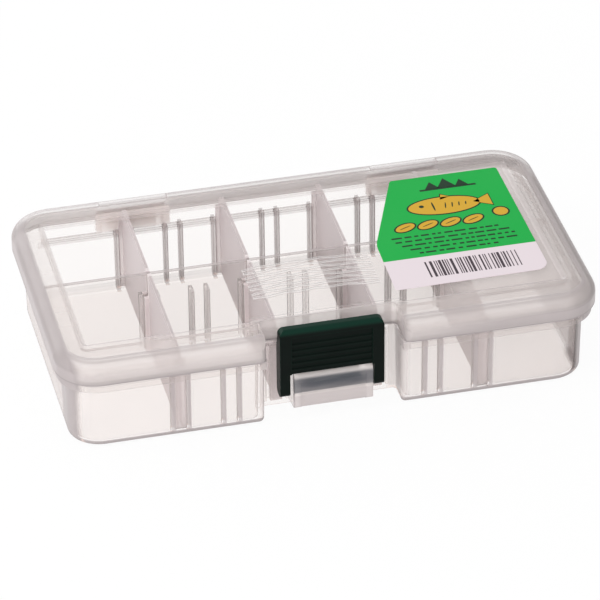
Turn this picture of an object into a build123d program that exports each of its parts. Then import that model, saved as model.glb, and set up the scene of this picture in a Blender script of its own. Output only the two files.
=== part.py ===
from build123d import *
import math
import os

# Fly box: a slim clear case with a hinged lid, a snap latch and eight lift-out dividers.
# Millimetres. X runs along the length, Y from the latch to the hinges, Z up from the table.

# --- driving dimensions: lid ---
LID_W = 161.0          # outside length of the lid skirt
LID_FRONT = -45.35     # skirt face on the latch side
LID_BACK = 43.75       # skirt face on the hinge side
LID_R = 12.5           # plan corner radius
LID_TOP = 31.0         # flat border
LID_SKIRT_Z = 23.9     # lower edge of the skirt
LID_WALL = 1.3
LID_TOP_T = 1.2
LID_EDGE_R = 4.0       # rounding between skirt and border
PANEL_X = 72.2         # half length of the sunk panel at its rim
PANEL_FRONT = -34.5
PANEL_BACK = 33.6
PANEL_R = 1.8
PANEL_DEPTH = 0.8
PANEL_SLOPE = 63.0     # slope of the step round the panel, degrees from upright
NOTCH_X = 20.5         # half width of the finger notch
NOTCH_FACE = -34.1     # face of the lid inside the notch
NOTCH_WALL = 1.1
MOUTH_R = 2.0          # rounding where the notch meets the front
PANEL_JOG = -32.6      # the panel draws back behind the notch
PANEL_JOG_X = 22.0
NOTCH_R = 1.6          # inner corners of the notch
CATCH_X = 12.0         # half width of the catch that the latch snaps over
CATCH_TIP = -38.1
CATCH_Z = 27.0
CATCH_T = 0.9
CATCH_NOSE = 0.25      # bevel at the catch's tip
CATCH_ROOT = 1.3       # thickness of the catch at the notch face
GRIP_ROWS = 8          # bowed, wavy ridges for the thumb
GRIP_PITCH = 2.2
GRIP_FRONT = -22.0
GRIP_X = 19.0
GRIP_T = 0.9
GRIP_H = 0.35
GRIP_BOW = 1.3
GRIP_WAVE = 0.3        # the ridges swing by this much, each against its neighbours
GRIP_STEPS = 8
CORE_X = 10.4          # half length of the core-outs on the back edge, above the hinges
CORE_FRONT = 38.9
CORE_BACK = 41.9
CORE_DEPTH = 0.6

# --- driving dimensions: tray ---
TRAY_X = 76.8          # half length at the foot
TRAY_FRONT = -40.9
TRAY_BACK = 41.2
TRAY_R = 9.5
TRAY_WALL = 1.3
FLOOR_T = 1.3
RIM_Z = 26.2
DRAFT = 1.0            # degrees, walls lean out for moulding
FOOT_R = 1.6           # rounding under the walls
RECESS_FACE = -33.4    # tray wall behind the latch, at the foot
RECESS_RIM = -32.75    # same wall where the lid comes down over it
LEDGE_Z = 20.9         # ledge that the lid skirt sits over
LEDGE_T = 2.6
LEDGE_R = 11.7
LEDGE_END = 37.2       # the ledge stops here, short of the hinge side
LEDGE_GAP = 0.4        # the ledge keeps this far off the faces of the recess
BACK_LEDGE_Z = 18.3    # lower ledge along the hinge side
BACK_LEDGE_T = 1.2
BACK_LEDGE_X = 70.0
BACK_LEDGE_Y = 42.4
RECESS_R = 1.2         # plan corners of the recess, outside and inside the wall
RECESS_IN_R = 2.2
RIM_X = 22.0           # half width of the stepped rim round the recess
RIM_T = 1.2
LEDGE_X = 79.6
LEDGE_FRONT = -44.3

# --- driving dimensions: divider guides and dividers ---
MID_Y = 2.75           # centre wall between the two rows
MID_T = 1.2
MID_TOP = 28.3
SLOT_PITCH = 15.0
SLOTS = range(-3, 4)   # seven slots along the box
DIVIDED = (-3, -1, 1, 3)
RIB_T = 1.1
RIB_GAP = 3.6          # clear width of a slot
RIB_OUT = 1.4
RIB_TOP = 20.8
DIVIDER_T = 1.0
FLANGE_W = 3.4         # T-shaped ends that fill a slot
FLANGE_T = 1.1
DIVIDER_TOP = 28.6
SLIDE = 0.15           # play between a divider and the walls
DIVIDER_R = 2.6        # upper corners, at the outer wall and at the centre wall
DIVIDER_IN_R = 1.2

# --- driving dimensions: hinges ---
HINGE_X = 42.0         # centre of each hinge
HINGE_Y = 43.6
HINGE_Z = 23.0
PIN_R = 0.9
PIN_PLAY = 0.06
KNUCKLE_R = 1.75
KNUCKLE_W = 13.6
EAR_T = 2.4
EAR_PLAY = 0.3
EAR_FOOT_Z = 17.5      # the ears taper down to the wall here
EAR_NOSE_Y = 0.9       # where the taper leaves the round end, from the pin
EAR_NOSE_Z = 1.5
CLIP_BACK = 2.0        # mouth of the clip that snaps over the pin, from the pin
CLIP_FRONT = 0.6
CLIP_DEPTH = 3.0

# --- driving dimensions: latch ---
LATCH_X = 15.5         # half width
LATCH_MID = -0.4       # it sits to the left in its play along the bar
BAR_Y = -39.3          # axis of the bar that the latch turns on
BAR_Z = 13.4
BAR_R = 2.4
BAR_PLAY = 0.08
HOOK_R = 3.8
HOOK_X = 9.0
BRACKET_X = 11.7
BRACKET_T = 2.0
BRACKET_FOOT_Z = 2.2   # where the bracket's underside meets the recess wall
BRACKET_NOSE_Z = 3.4   # its front lower corner, cut off at a slant
BRACKET_NOSE = 1.4
WEB_Z = 4.4            # lower edge of the web between the ears
WEB_T = 1.2
WEB_SET = 0.15         # the web stands back from the ears' front edge
LATCH_FRONT = -41.6
LATCH_BACK = -38.1     # back edge of the latch's top
LATCH_TOP = 30.6
LATCH_SKIN = 1.8
RAIL_W = 3.0           # side rails that run down as legs
WINDOW_Z = 15.8        # lower edge of the thumb panel, above the bar
LEG_Z = 8.0
LEG_BACK = -36.9
LEG_TOP = 24.0         # the legs thin into the top above here
LATCH_STEP = 3.4
LATCH_EDGE_R = 2.0     # rounding of the top front edge
LEG_EDGE_R = 1.6       # rounding of the leg ends
LATCH_CORNER_R = 1.8
HOLLOW_WALL = 1.5      # cheeks beside the hollow
HOLLOW_TOP = 1.7
BEAK_X = 13.0
BEAK_Z = 27.3          # lower edge of the beak, just above the lid's catch
BEAK_BACK = -37.5
BEAK_NOSE = 0.3
BEAK_LEAD = 1.3
HOLLOW_Z = 0.9         # thickness left below the hollow, above the window
HOOK_MOUTH = 1.2       # where the hook's open side starts, in front of the bar's axis
HOOK_TIP = 0.2         # its free end, behind the axis
HOOK_STEM = 0.65       # front face of the stem that joins hook and thumb panel
HOOK_NECK = 2.4        # back face of the stem
HOOK_RISE = 3.4        # height of its joint on the back of the thumb panel
HOOK_DROP = 1.2
RIB_FLAT = 0.4         # width of the flat along a thumb rib, and the width at its foot
RIB_FOOT = 1.0
RIB_SET = 0.05         # the ribs stay this much below the rails
RIB_FIRST = 1.5        # middle of the lowest rib, above the window
THUMB_X = 12.0         # inset panel between the rails
THUMB_TOP = 28.3
THUMB_DEPTH = 0.5
THUMB_RIBS = 5
THUMB_PITCH = 2.1

LABEL_T = 0.12
LABEL_POINTS = (       # outline on the panel, from the back left corner round
    (35.6, 31.7),
    (22.8, -2.0),
    (22.2, -27.2),
    (69.0, -26.6),
    (69.0, 31.7),
)
LABEL_RADII = (1.0, 14.0, 1.0, 4.0, 1.0)

LID_Y = (LID_FRONT + LID_BACK) / 2
LID_D = LID_BACK - LID_FRONT
TRAY_Y = (TRAY_FRONT + TRAY_BACK) / 2
TRAY_D = TRAY_BACK - TRAY_FRONT
PANEL_Z = LID_TOP - PANEL_DEPTH
LEAN = math.tan(math.radians(DRAFT))
SIDES = (-1, 1)
FAR = 40.0             # size of a cut that runs clear of the piece
SINK = 0.5             # how far a rib, ear or pin reaches into the wall that carries it

os.makedirs("parts", exist_ok=True)


def finish(part, name):
    """Name a finished piece and write it out."""
    part.label = name
    export_step(part, f"parts/{name}.step")


def plan(inset, notch_x, notch_y, corner):
    """Plan of the tray walls, drawn in by inset, with the latch recess left out."""
    with Locations((0, TRAY_Y)):
        RectangleRounded(2 * (TRAY_X - inset), TRAY_D - 2 * inset, TRAY_R - inset)
    with Locations((0, notch_y)):
        Rectangle(2 * notch_x, FAR, align=(Align.CENTER, Align.MAX), mode=Mode.SUBTRACT)
    recess = [v for v in vertices() if abs(abs(v.X) - notch_x) < 0.01]
    fillet(recess, radius=corner)


def recess_cut():
    """Leaves the latch recess out of a plan at the height of the ledge."""
    with Locations((0, RECESS_FACE - LEDGE_GAP)):
        Rectangle(2 * (NOTCH_X - LEDGE_GAP), FAR, align=(Align.CENTER, Align.MAX), mode=Mode.SUBTRACT)


def block(x0, x1, y0, y1, mode=Mode.ADD):
    """Rectangle between two corners in the plane that is being drawn on."""
    with Locations(((x0 + x1) / 2, (y0 + y1) / 2)):
        Rectangle(abs(x1 - x0), abs(y1 - y0), mode=mode)


# --- tray: drafted shell, recess, guides, latch bracket and hinge ears in one moulding ---
with BuildPart() as base_tray:
    with BuildSketch(Plane.XY):
        plan(0, NOTCH_X, RECESS_FACE, RECESS_R)
    extrude(amount=RIM_Z, taper=-DRAFT)
    fillet(base_tray.edges().group_by(Axis.Z)[0], radius=FOOT_R)

    # ledge below the lid skirt
    with BuildSketch(Plane.XY.offset(LEDGE_Z)):
        with Locations((0, (LEDGE_FRONT + TRAY_BACK) / 2)):
            RectangleRounded(2 * LEDGE_X, TRAY_BACK - LEDGE_FRONT, LEDGE_R)
        recess_cut()
        block(-LEDGE_X, LEDGE_X, LEDGE_END, TRAY_BACK, Mode.SUBTRACT)
    extrude(amount=LEDGE_T)

    # on the hinge side it runs lower down, clear of the opened lid
    with BuildSketch(Plane.XY.offset(BACK_LEDGE_Z)):
        block(-BACK_LEDGE_X, BACK_LEDGE_X, TRAY_BACK - SINK, BACK_LEDGE_Y)
    extrude(amount=BACK_LEDGE_T)

    with BuildSketch(Plane.XY.offset(FLOOR_T)):
        plan(TRAY_WALL, NOTCH_X + TRAY_WALL, RECESS_FACE + TRAY_WALL, RECESS_IN_R)
    extrude(amount=RIM_Z, taper=-DRAFT, mode=Mode.SUBTRACT)

    # the rim steps back round the recess, where the notched lid comes down outside it
    with BuildSketch(Plane.XY.offset(LEDGE_Z)):
        block(-RIM_X - RIM_T, RIM_X + RIM_T, TRAY_FRONT - 0.1, RECESS_RIM + RIM_T)
        recess_cut()
    extrude(amount=RIM_Z - LEDGE_Z)
    with BuildSketch(Plane.XY.offset(LEDGE_Z + LEDGE_T)):
        block(-RIM_X, RIM_X, RECESS_RIM - FAR, RECESS_RIM)
    extrude(amount=FAR, mode=Mode.SUBTRACT)

    with BuildSketch(Plane.XY.offset(FLOOR_T / 2)):
        block(-TRAY_X + TRAY_WALL / 2, TRAY_X - TRAY_WALL / 2, MID_Y - MID_T / 2, MID_Y + MID_T / 2)
    extrude(amount=MID_TOP - FLOOR_T / 2)

    # pairs of guide ribs: on the outer walls and on both faces of the centre wall
    with BuildSketch(Plane.XY.offset(FLOOR_T / 2)):
        for slot in SLOTS:
            front_wall = RECESS_FACE if abs(slot) < 2 else TRAY_FRONT
            faces = (
                (front_wall + TRAY_WALL - SINK, front_wall + TRAY_WALL + RIB_OUT),
                (MID_Y - MID_T / 2 - RIB_OUT, MID_Y),
                (MID_Y, MID_Y + MID_T / 2 + RIB_OUT),
                (TRAY_BACK - TRAY_WALL - RIB_OUT, TRAY_BACK - TRAY_WALL + SINK),
            )
            for side in SIDES:
                rib = slot * SLOT_PITCH + side * (RIB_GAP + RIB_T) / 2
                for near, far in faces:
                    block(rib - RIB_T / 2, rib + RIB_T / 2, near, far)
    extrude(amount=RIB_TOP - FLOOR_T / 2)

    # hinge: two ears and the pin between them, on each side
    for side in SIDES:
        for end in SIDES:
            ear_mid = side * HINGE_X + end * (KNUCKLE_W / 2 + EAR_PLAY + EAR_T / 2)
            with BuildSketch(Plane.YZ.offset(ear_mid - EAR_T / 2)):
                with Locations((HINGE_Y, HINGE_Z)):
                    Circle(KNUCKLE_R)
                with BuildLine():
                    Polyline(
                        (TRAY_BACK - SINK, EAR_FOOT_Z),
                        (HINGE_Y + EAR_NOSE_Y, HINGE_Z - EAR_NOSE_Z),
                        (HINGE_Y, HINGE_Z + KNUCKLE_R),
                        (TRAY_BACK - SINK, HINGE_Z + KNUCKLE_R),
                        close=True,
                    )
                make_face()
            extrude(amount=EAR_T)
        pin_x = KNUCKLE_W / 2 + EAR_PLAY + SINK
        with BuildSketch(Plane.YZ.offset(side * HINGE_X - pin_x)):
            with Locations((HINGE_Y, HINGE_Z)):
                Circle(PIN_R)
        extrude(amount=2 * pin_x)

    # latch bracket: two ears off the recess wall, the round bar, and the web under it
    for side in SIDES:
        with BuildSketch(Plane.YZ.offset(side * (BRACKET_X - BRACKET_T / 2) - BRACKET_T / 2)):
            with Locations((BAR_Y, BAR_Z)):
                Circle(BAR_R)
            with BuildLine():
                Polyline(
                    (RECESS_FACE + SINK, BAR_Z + BAR_R),
                    (BAR_Y, BAR_Z + BAR_R),
                    (BAR_Y - BAR_R, BAR_Z),
                    (BAR_Y - BAR_R, WEB_Z),
                    (BAR_Y - BAR_R + BRACKET_NOSE, BRACKET_NOSE_Z),
                    (RECESS_FACE + SINK, BRACKET_FOOT_Z),
                    close=True,
                )
            make_face()
        extrude(amount=BRACKET_T)
    with BuildSketch(Plane.YZ.offset(-BRACKET_X + SINK)):
        with Locations((BAR_Y, BAR_Z)):
            Circle(BAR_R)
        block(BAR_Y - BAR_R + WEB_SET, BAR_Y - BAR_R + WEB_SET + WEB_T, WEB_Z, BAR_Z)
    extrude(amount=2 * (BRACKET_X - SINK))
finish(base_tray.part, "base_tray")


# --- lid: rounded shell with a sunk panel, finger notch, grip ridges and hinge knuckles ---
def notch_plan(half, face, corner, mouth):
    """Plan of the finger notch, with rounded inner corners and, where mouth is set, a rounded mouth."""
    block(-half, half, LID_FRONT - FAR, face)
    fillet([v for v in vertices() if abs(v.Y - face) < 0.01], radius=corner)
    if mouth:
        block(-half - mouth, half + mouth, LID_FRONT - FAR, LID_FRONT + mouth)
        with Locations((-half - mouth, LID_FRONT + mouth), (half + mouth, LID_FRONT + mouth)):
            Circle(mouth, mode=Mode.SUBTRACT)


def panel_plan(grow):
    """Plan of the sunk panel, with its jog behind the finger notch."""
    block(-PANEL_X - grow, PANEL_X + grow, PANEL_FRONT - grow, PANEL_BACK + grow)
    with Locations((0, PANEL_JOG - grow)):
        Rectangle(2 * (PANEL_JOG_X - grow), FAR, align=(Align.CENTER, Align.MAX), mode=Mode.SUBTRACT)
    fillet([v for v in vertices() if abs(v.X) > PANEL_JOG_X + 1], radius=PANEL_R)


def ridge_points(row):
    """Outline of one grip ridge: it bows back in the middle and swings against the next ridge."""
    steps = range(GRIP_STEPS + 1)
    xs = [-GRIP_X + 2 * GRIP_X * step / GRIP_STEPS for step in steps]
    ys = [
        GRIP_FRONT + row * GRIP_PITCH + GRIP_BOW * (1 - (x / GRIP_X) ** 2) + GRIP_WAVE * (-1) ** (row + step)
        for step, x in zip(steps, xs)
    ]
    near = list(zip(xs, ys))
    return near + [(x, y + GRIP_T) for x, y in reversed(near)]


with BuildPart() as lid_core:
    with BuildSketch(Plane.XY.offset(LID_SKIRT_Z - 1)):
        with Locations((0, LID_Y)):
            RectangleRounded(LID_W - 2 * LID_WALL, LID_D - 2 * LID_WALL, LID_R - LID_WALL)
    extrude(amount=LID_TOP - LID_TOP_T - LID_SKIRT_Z + 1)
    fillet(lid_core.edges().group_by(Axis.Z)[-1], radius=LID_EDGE_R - LID_WALL)
    with BuildSketch(Plane.XY.offset(LID_SKIRT_Z - 1)):
        notch_plan(NOTCH_X + NOTCH_WALL, NOTCH_FACE + NOTCH_WALL, NOTCH_R + NOTCH_WALL, 0)
    extrude(amount=10, mode=Mode.SUBTRACT)

with BuildPart() as lid:
    with BuildSketch(Plane.XY.offset(LID_SKIRT_Z)):
        with Locations((0, LID_Y)):
            RectangleRounded(LID_W, LID_D, LID_R)
    extrude(amount=LID_TOP - LID_SKIRT_Z)
    fillet(lid.edges().group_by(Axis.Z)[-1], radius=LID_EDGE_R)
    with BuildSketch(Plane.XY.offset(LID_SKIRT_Z)):
        notch_plan(NOTCH_X, NOTCH_FACE, NOTCH_R, MOUTH_R)
    extrude(amount=10, mode=Mode.SUBTRACT)
    add(lid_core.part, mode=Mode.SUBTRACT)

    # sunk panel: thickened below first, then the pocket with its sloped step
    with BuildSketch(Plane.XY.offset(PANEL_Z - LID_TOP_T)):
        panel_plan(0)
    extrude(amount=LID_TOP_T)
    with BuildSketch(Plane.XY.offset(LID_TOP)):
        panel_plan(0)
    extrude(amount=-PANEL_DEPTH, taper=PANEL_SLOPE, mode=Mode.SUBTRACT)

    # catch on the notch face, under the latch's beak
    with BuildSketch(Plane.YZ.offset(-CATCH_X)):
        with BuildLine():
            Polyline(
                (NOTCH_FACE + SINK, CATCH_Z),
                (CATCH_TIP + CATCH_NOSE, CATCH_Z),
                (CATCH_TIP, CATCH_Z - CATCH_NOSE),
                (CATCH_TIP, CATCH_Z - CATCH_T + CATCH_NOSE),
                (CATCH_TIP + CATCH_NOSE, CATCH_Z - CATCH_T),
                (NOTCH_FACE, CATCH_Z - CATCH_ROOT),
                (NOTCH_FACE + SINK, CATCH_Z - CATCH_ROOT),
                close=True,
            )
        make_face()
    extrude(amount=2 * CATCH_X)

    # bowed, wavy ridges for the thumb
    with BuildSketch(Plane.XY.offset(PANEL_Z - GRIP_H)):
        for row in range(GRIP_ROWS):
            with BuildLine():
                Polyline(ridge_points(row), close=True)
            make_face()
    extrude(amount=2 * GRIP_H)

    # gaps in the skirt for the hinge ears, and the C-shaped knuckle between each pair
    for side in SIDES:
        for end in SIDES:
            gap_mid = side * HINGE_X + end * (KNUCKLE_W / 2 + EAR_PLAY + EAR_T / 2)
            with BuildSketch(Plane.XY.offset(LID_SKIRT_Z)):
                with Locations((gap_mid, LID_BACK)):
                    Rectangle(EAR_T + 2 * EAR_PLAY, 4)
            extrude(amount=HINGE_Z + KNUCKLE_R + 0.5 - LID_SKIRT_Z, mode=Mode.SUBTRACT)
        with BuildSketch(Plane.YZ.offset(side * HINGE_X - KNUCKLE_W / 2)):
            with Locations((HINGE_Y, HINGE_Z)):
                Circle(KNUCKLE_R)
            block(LID_BACK - LID_WALL, LID_BACK, HINGE_Z + PIN_R, LID_SKIRT_Z + SINK)
            with Locations((HINGE_Y, HINGE_Z)):
                Circle(PIN_R + PIN_PLAY, mode=Mode.SUBTRACT)
            with BuildLine():
                Polyline(
                    (HINGE_Y, HINGE_Z),
                    (HINGE_Y - CLIP_BACK, HINGE_Z - CLIP_DEPTH),
                    (HINGE_Y + CLIP_FRONT, HINGE_Z - CLIP_DEPTH),
                    close=True,
                )
            make_face(mode=Mode.SUBTRACT)
        extrude(amount=KNUCKLE_W)
        # core-out on the back edge above the hinge
        with BuildSketch(Plane.XY.offset(LID_TOP - CORE_DEPTH)):
            block(side * HINGE_X - CORE_X, side * HINGE_X + CORE_X, CORE_FRONT, CORE_BACK)
        extrude(amount=2 * CORE_DEPTH, mode=Mode.SUBTRACT)
finish(lid.part, "lid")


# --- latch: hollow thumb piece with legs, inset ribbed panel, beak and a C-shaped hook ---
with BuildPart() as latch:
    with BuildSketch(Plane.YZ.offset(LATCH_MID - LATCH_X)):
        with BuildLine():
            Polyline(
                (LATCH_FRONT, LEG_Z),
                (LATCH_FRONT, LATCH_TOP),
                (LATCH_BACK, LATCH_TOP),
                (LATCH_BACK, LEG_TOP + LATCH_STEP),
                (LEG_BACK, LEG_TOP),
                (LEG_BACK, LEG_Z),
                close=True,
            )
        make_face()
    extrude(amount=2 * LATCH_X)
    fillet(latch.edges().filter_by(Axis.X).group_by(Axis.Z)[-1].sort_by(Axis.Y)[0], radius=LATCH_EDGE_R)
    fillet(latch.edges().filter_by(Axis.X).group_by(Axis.Z)[0], radius=LEG_EDGE_R)

    # round the top corners and shape the legs, seen from the front
    window_x = LATCH_X - RAIL_W
    with BuildSketch(Plane.XZ.offset(-LEG_BACK)):
        block(LATCH_MID - LATCH_X, LATCH_MID + LATCH_X, LEG_Z, LATCH_TOP)
        fillet([v for v in vertices() if v.Y > LATCH_TOP - 0.1], radius=LATCH_CORNER_R)
        block(LATCH_MID - window_x, LATCH_MID + window_x, LEG_Z, WINDOW_Z, Mode.SUBTRACT)
    extrude(amount=LEG_BACK - LATCH_FRONT, mode=Mode.INTERSECT)

    # hollow behind the thumb panel
    with BuildSketch(Plane.YZ.offset(LATCH_MID - LATCH_X + HOLLOW_WALL)):
        block(LATCH_FRONT + LATCH_SKIN, LEG_BACK + SINK, WINDOW_Z + HOLLOW_Z, LATCH_TOP - HOLLOW_TOP)
    extrude(amount=2 * (LATCH_X - HOLLOW_WALL), mode=Mode.SUBTRACT)

    # inset thumb panel with its grip ribs
    with BuildSketch(Plane.XZ.offset(-LATCH_FRONT)):
        block(LATCH_MID - THUMB_X, LATCH_MID + THUMB_X, WINDOW_Z, THUMB_TOP)
    extrude(amount=-THUMB_DEPTH, mode=Mode.SUBTRACT)
    for row in range(THUMB_RIBS):
        rib_z = WINDOW_Z + RIB_FIRST + row * THUMB_PITCH
        with BuildSketch(Plane.YZ.offset(LATCH_MID - THUMB_X)):
            with BuildLine():
                Polyline(
                    (LATCH_FRONT + THUMB_DEPTH + SINK, rib_z - RIB_FOOT / 2),
                    (LATCH_FRONT + THUMB_DEPTH, rib_z - RIB_FOOT / 2),
                    (LATCH_FRONT + RIB_SET, rib_z - RIB_FLAT / 2),
                    (LATCH_FRONT + RIB_SET, rib_z + RIB_FLAT / 2),
                    (LATCH_FRONT + THUMB_DEPTH, rib_z + RIB_FOOT / 2),
                    (LATCH_FRONT + THUMB_DEPTH + SINK, rib_z + RIB_FOOT / 2),
                    close=True,
                )
            make_face()
        extrude(amount=2 * THUMB_X)

    # beak under the top, which holds down the lid's catch
    with BuildSketch(Plane.YZ.offset(LATCH_MID - BEAK_X)):
        with BuildLine():
            Polyline(
                (LATCH_FRONT + LATCH_SKIN - SINK, LATCH_TOP - HOLLOW_TOP + SINK),
                (BEAK_BACK, LATCH_TOP - HOLLOW_TOP + SINK),
                (BEAK_BACK, BEAK_Z + BEAK_NOSE),
                (BEAK_BACK - BEAK_NOSE, BEAK_Z),
                (BEAK_BACK - BEAK_LEAD, BEAK_Z),
                (LATCH_FRONT + LATCH_SKIN - SINK, BEAK_Z + BEAK_LEAD),
                close=True,
            )
        make_face()
    extrude(amount=2 * BEAK_X)

    # hook round the back of the bar
    with BuildSketch(Plane.YZ.offset(LATCH_MID - HOOK_X)):
        with Locations((BAR_Y, BAR_Z)):
            Circle(HOOK_R)
        with BuildLine():
            Polyline(
                (BAR_Y, BAR_Z),
                (BAR_Y - HOOK_MOUTH, BAR_Z + 2 * HOOK_R),
                (BAR_Y - 2 * HOOK_R, BAR_Z + 2 * HOOK_R),
                (BAR_Y - 2 * HOOK_R, BAR_Z - 2 * HOOK_R),
                (BAR_Y + HOOK_TIP, BAR_Z - 2 * HOOK_R),
                close=True,
            )
        make_face(mode=Mode.SUBTRACT)
        with BuildLine():
            Polyline(
                (BAR_Y - HOOK_STEM, BAR_Z),
                (BAR_Y - HOOK_STEM, WINDOW_Z),
                (LATCH_FRONT + LATCH_SKIN / 2, WINDOW_Z),
                (LATCH_FRONT + LATCH_SKIN / 2, WINDOW_Z + HOOK_RISE),
                (LATCH_FRONT + LATCH_SKIN + SINK, WINDOW_Z + HOOK_RISE),
                (BAR_Y + HOOK_NECK, WINDOW_Z - HOOK_DROP),
                (BAR_Y + HOOK_NECK, BAR_Z),
                close=True,
            )
        make_face()
        with Locations((BAR_Y, BAR_Z)):
            Circle(BAR_R + BAR_PLAY, mode=Mode.SUBTRACT)
    extrude(amount=2 * HOOK_X)
finish(latch.part, "latch")


# --- dividers: thin plates with a T-shaped end in each guide slot ---
def wall_face(foot_y, z):
    """Inner face of a drafted wall at height z, going out from the middle of the box."""
    return foot_y + math.copysign((z - FLOOR_T) * LEAN, foot_y)


def make_divider(slot, side):
    """One divider in the front row (side -1) or the rear row (side 1)."""
    behind_latch = side < 0 and abs(slot) < 2
    if behind_latch:
        foot = RECESS_FACE + TRAY_WALL + SLIDE
        step_z = LEDGE_Z - 2 * SLIDE
        top_y = RECESS_RIM + RIM_T + SLIDE
    else:
        foot = (TRAY_FRONT + TRAY_WALL + SLIDE) if side < 0 else (TRAY_BACK - TRAY_WALL - SLIDE)
        step_z = RIM_Z - 1
        top_y = wall_face(foot, step_z)
    inner = MID_Y + side * (MID_T / 2 + SLIDE)
    x = slot * SLOT_PITCH
    with BuildPart() as plate:
        with BuildSketch(Plane.YZ.offset(x - DIVIDER_T / 2)):
            with BuildLine():
                Polyline(
                    (foot, FLOOR_T),
                    (wall_face(foot, step_z), step_z),
                    (top_y, step_z + 0.01),
                    (top_y, DIVIDER_TOP),
                    (inner, DIVIDER_TOP),
                    (inner, FLOOR_T),
                    close=True,
                )
            make_face()
            upper = [v for v in vertices() if v.Y > DIVIDER_TOP - 0.1]
            fillet([v for v in upper if abs(v.X - inner) > 1], radius=DIVIDER_R)
            fillet([v for v in upper if abs(v.X - inner) < 1], radius=DIVIDER_IN_R)
        extrude(amount=DIVIDER_T)
        with BuildSketch(Plane.YZ.offset(x - FLANGE_W / 2)):
            with BuildLine():
                Polyline(
                    (foot, FLOOR_T),
                    (wall_face(foot, step_z), step_z),
                    (wall_face(foot, step_z) - side * FLANGE_T, step_z),
                    (foot - side * FLANGE_T, FLOOR_T),
                    close=True,
                )
            make_face()
            block(inner, inner + side * FLANGE_T, FLOOR_T, RIB_TOP)
        extrude(amount=FLANGE_W)
    return plate.part


for row, side in (("front", -1), ("rear", 1)):
    for index, slot in enumerate(DIVIDED):
        finish(make_divider(slot, side), f"divider_{row}_{index + 1}")


# --- label: thin sheet stuck on the right half of the panel ---
with BuildPart() as label:
    with BuildSketch(Plane.XY.offset(PANEL_Z)):
        with BuildLine():
            Polyline(*LABEL_POINTS, close=True)
        make_face()
        for (x, y), radius in zip(LABEL_POINTS, LABEL_RADII):
            fillet([v for v in vertices() if abs(v.X - x) + abs(v.Y - y) < 0.01], radius=radius)
    extrude(amount=LABEL_T)
finish(label.part, "label")
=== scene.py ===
"""Looks of the clear fly box: finishes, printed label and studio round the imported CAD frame."""

import logging
import math
import random
from dataclasses import dataclass
from enum import Enum
from typing import Sequence, Union

import bmesh
import bpy
from mathutils import Matrix, Vector


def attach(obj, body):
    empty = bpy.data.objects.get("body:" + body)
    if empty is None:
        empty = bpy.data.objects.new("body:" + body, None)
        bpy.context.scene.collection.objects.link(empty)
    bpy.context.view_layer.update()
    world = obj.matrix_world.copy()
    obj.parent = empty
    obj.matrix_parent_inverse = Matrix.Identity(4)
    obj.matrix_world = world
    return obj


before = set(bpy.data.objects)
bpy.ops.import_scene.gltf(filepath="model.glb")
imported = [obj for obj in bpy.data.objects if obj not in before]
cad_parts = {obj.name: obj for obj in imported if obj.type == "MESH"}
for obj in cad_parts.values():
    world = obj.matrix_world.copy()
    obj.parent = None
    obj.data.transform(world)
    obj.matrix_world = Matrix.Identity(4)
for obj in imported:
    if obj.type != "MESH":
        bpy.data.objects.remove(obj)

LOG = logging.getLogger("fly_box")
MM = 0.001

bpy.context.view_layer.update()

Triple = tuple[float, float, float]
Colour = Triple
Span = tuple[float, float]
Number = Union[float, "Value"]


# ---------------------------------------------------------------------------------- shader helpers


class Value:
    """One number socket of a node tree; arithmetic on it adds Math nodes."""

    def __init__(self, graph: "Graph", socket: bpy.types.NodeSocket) -> None:
        """Keep the socket and the graph that it belongs to.

        Args:
            graph: the graph that new Math nodes are added to.
            socket: the output socket that this value stands for.
        """
        self.graph = graph
        self.socket = socket

    def _math(self, operation: str, first: Number, second: Number | None = None) -> "Value":
        """Add one Math node.

        Args:
            operation: the node's operation.
            first: its first operand.
            second: its second operand, where it has one.

        Returns:
            The node's result.
        """
        operands = [first] if second is None else [first, second]
        node = self.graph.node(
            "ShaderNodeMath", {"operation": operation}, dict(enumerate(operands))
        )
        return Value(self.graph, node.outputs[0])

    def __add__(self, other: Number) -> "Value":
        """Return self + other."""
        return self._math("ADD", self, other)

    def __radd__(self, other: Number) -> "Value":
        """Return other + self."""
        return self._math("ADD", other, self)

    def __sub__(self, other: Number) -> "Value":
        """Return self - other."""
        return self._math("SUBTRACT", self, other)

    def __rsub__(self, other: Number) -> "Value":
        """Return other - self."""
        return self._math("SUBTRACT", other, self)

    def __mul__(self, other: Number) -> "Value":
        """Return self * other."""
        return self._math("MULTIPLY", self, other)

    def __rmul__(self, other: Number) -> "Value":
        """Return other * self."""
        return self._math("MULTIPLY", other, self)

    def __truediv__(self, other: Number) -> "Value":
        """Return self / other."""
        return self._math("DIVIDE", self, other)

    def __pow__(self, other: Number) -> "Value":
        """Return self raised to other."""
        return self._math("POWER", self, other)

    def magnitude(self) -> "Value":
        """Return self without its sign."""
        return self._math("ABSOLUTE", self)

    def modulo(self, other: Number) -> "Value":
        """Return the rest of self over other, for a self of at least 0."""
        return self._math("MODULO", self, other)

    def greater(self, other: Number) -> "Value":
        """Return the greater of self and other."""
        return self._math("MAXIMUM", self, other)

    def lesser(self, other: Number) -> "Value":
        """Return the lesser of self and other."""
        return self._math("MINIMUM", self, other)

    def over(self, edge: float) -> "Value":
        """Return 1 where self is greater than edge, else 0."""
        return self._math("GREATER_THAN", self, edge)

    def clamped(self, low: float = 0.0, high: float = 1.0) -> "Value":
        """Return self held between low and high."""
        return self._math("MINIMUM", self._math("MAXIMUM", self, low), high)

    def ramp(self, low: float, high: float) -> "Value":
        """Return 0 at low rising smoothly to 1 at high.

        Args:
            low: value of self that gives 0.
            high: value of self that gives 1.

        Returns:
            The mapped value, held between 0 and 1.
        """
        node = self.graph.node(
            "ShaderNodeMapRange",
            {"interpolation_type": "SMOOTHSTEP"},
            {"Value": self, "From Min": low, "From Max": high},
        )
        return Value(self.graph, node.outputs[0])


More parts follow.
